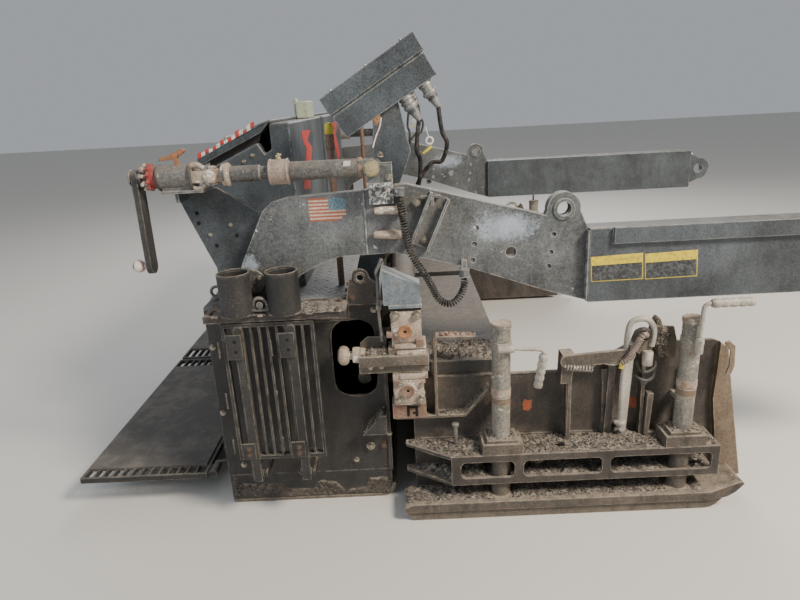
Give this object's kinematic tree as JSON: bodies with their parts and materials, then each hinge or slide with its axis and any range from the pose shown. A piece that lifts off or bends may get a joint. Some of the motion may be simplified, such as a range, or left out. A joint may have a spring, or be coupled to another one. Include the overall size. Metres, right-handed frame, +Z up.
{
  "type": "asphalt paver screed with tow arms",
  "caption": "Floating screed of an asphalt paver with tow arms, sliding extensions, end gates on skis, depth screws and folding walkways.",
  "frame": {"origin": "centre of the footprint on the ground", "axes": "+X is the direction of travel, +Y is the machine's left and +Z is up"},
  "size_m": [3.672, 2.7946, 1.7722],
  "materials": {
    "painted_steel": "worn charcoal paint",
    "grimy_steel": "grimy, rusty and dusty",
    "wear_steel": "scoured and dusty",
    "rusty_steel": "scaled paint and rust",
    "bare_steel": "worn bare metal",
    "chromed_steel": "polished",
    "light_painted_steel": "light grey paint",
    "light_plastic": "matte",
    "rubber": "matte"
  },
  "bodies": {
    "root": {"main_plates": "wear_steel", "plate_carriers": "grimy_steel", "frame_walls": "painted_steel", "bulkheads": "painted_steel", "deck": "painted_steel", "end_plates": "painted_steel", "rear_gussets": "grimy_steel", "slide_guides": "painted_steel", "crown_turnbuckle": "bare_steel", "junction_box": "light_plastic", "side_shelves": "grimy_steel", "tool_cups": "painted_steel", "uprights": "painted_steel", "depth_cranks": "painted_steel", "cabinets": "painted_steel", "hoods": "painted_steel", "control_posts": "painted_steel", "control_boxes": "painted_steel"},
    "extension_right": {"slide_tubes_right": "chromed_steel", "slide_bracket_right": "rusty_steel", "strap_bracket_right": "grimy_steel", "extension_box_right": "grimy_steel", "end_gate_right": "grimy_steel", "gate_channel_right": "grimy_steel", "jack_tubes_right": "bare_steel", "jack_cranks_right": "light_painted_steel", "lock_lever_right": "bare_steel"},
    "ski_body_right": {"ski_right": "wear_steel"},
    "arm_right": {"tow_arm_right": "painted_steel", "arm_beam_right": "painted_steel", "arm_brackets_right": "bare_steel", "curly_cord_right": "rubber"},
    "screw_right": {"depth_screw_right": "bare_steel"},
    "nut_right": {"nut_tube_right": "bare_steel"},
    "walkway_body_right": {"walkway_right": "grimy_steel"},
    "step_right": {"end_step_right": "grimy_steel"},
    "extension_left": {"slide_tubes_left": "chromed_steel", "slide_bracket_left": "rusty_steel", "strap_bracket_left": "grimy_steel", "extension_box_left": "grimy_steel", "end_gate_left": "grimy_steel", "gate_channel_left": "grimy_steel", "jack_tubes_left": "bare_steel", "jack_cranks_left": "light_painted_steel", "lock_lever_left": "bare_steel"},
    "ski_body_left": {"ski_left": "wear_steel"},
    "arm_left": {"tow_arm_left": "painted_steel", "arm_beam_left": "painted_steel", "arm_brackets_left": "bare_steel"},
    "screw_left": {"depth_screw_left": "bare_steel"},
    "nut_left": {"nut_tube_left": "bare_steel"},
    "walkway_body_left": {"walkway_left": "grimy_steel"},
    "step_left": {"end_step_left": "grimy_steel"}
  },
  "joints": [
    {"name": "extension_slide_right", "type": "slide", "parent": "root", "child": "extension_right", "axis": [0, -1, 0], "range_m": [0, 0.9]},
    {"name": "ski_lift_right", "type": "slide", "parent": "extension_right", "child": "ski_body_right", "axis": [0, 0, 1], "range_m": [-0.1, 0.05]},
    {"name": "arm_pivot_right", "type": "hinge", "parent": "root", "child": "arm_right", "pos_m": [-1.002, -1.252, 0.97], "axis": [0, -1, 0], "range_deg": [-1.5, 2.5]},
    {"name": "screw_tilt_right", "type": "hinge", "parent": "root", "child": "screw_right", "pos_m": [-1.082, -1.304, 1.35], "axis": [0, -1, 0], "range_deg": [-1.4, 2.3]},
    {"name": "nut_tilt_right", "type": "hinge", "parent": "arm_right", "child": "nut_right", "pos_m": [-0.55, -1.304, 1.35], "axis": [0, -1, 0], "range_deg": [-0.5, 0.35]},
    {"name": "walkway_fold_right", "type": "hinge", "parent": "root", "child": "walkway_body_right", "pos_m": [-1.287, -0.6, 0.135], "axis": [0, 1, 0], "range_deg": [0, 90]},
    {"name": "step_fold_right", "type": "hinge", "parent": "root", "child": "step_right", "pos_m": [-0.952, -1.329, 0.208], "axis": [1, 0, 0], "range_deg": [0, 90]},
    {"name": "extension_slide_left", "type": "slide", "parent": "root", "child": "extension_left", "axis": [0, 1, 0], "range_m": [0, 0.9]},
    {"name": "ski_lift_left", "type": "slide", "parent": "extension_left", "child": "ski_body_left", "axis": [0, 0, 1], "range_m": [-0.1, 0.05]},
    {"name": "arm_pivot_left", "type": "hinge", "parent": "root", "child": "arm_left", "pos_m": [-1.002, 1.252, 0.97], "axis": [0, -1, 0], "range_deg": [-1.5, 2.5]},
    {"name": "screw_tilt_left", "type": "hinge", "parent": "root", "child": "screw_left", "pos_m": [-1.082, 1.304, 1.35], "axis": [0, -1, 0], "range_deg": [-1.4, 2.3]},
    {"name": "nut_tilt_left", "type": "hinge", "parent": "arm_left", "child": "nut_left", "pos_m": [-0.55, 1.304, 1.35], "axis": [0, -1, 0], "range_deg": [-0.5, 0.35]},
    {"name": "walkway_fold_left", "type": "hinge", "parent": "root", "child": "walkway_body_left", "pos_m": [-1.287, 0.6, 0.135], "axis": [0, 1, 0], "range_deg": [0, 90]},
    {"name": "step_fold_left", "type": "hinge", "parent": "root", "child": "step_left", "pos_m": [-0.952, 1.329, 0.208], "axis": [-1, 0, 0], "range_deg": [0, 90]}
  ],
  "couplings": [
    {"joint": "screw_tilt_right", "follows": "arm_pivot_right", "ratio": 0.852},
    {"joint": "nut_tilt_right", "follows": "arm_pivot_right", "ratio": -0.148},
    {"joint": "screw_tilt_left", "follows": "arm_pivot_left", "ratio": 0.852},
    {"joint": "nut_tilt_left", "follows": "arm_pivot_left", "ratio": -0.148}
  ]
}
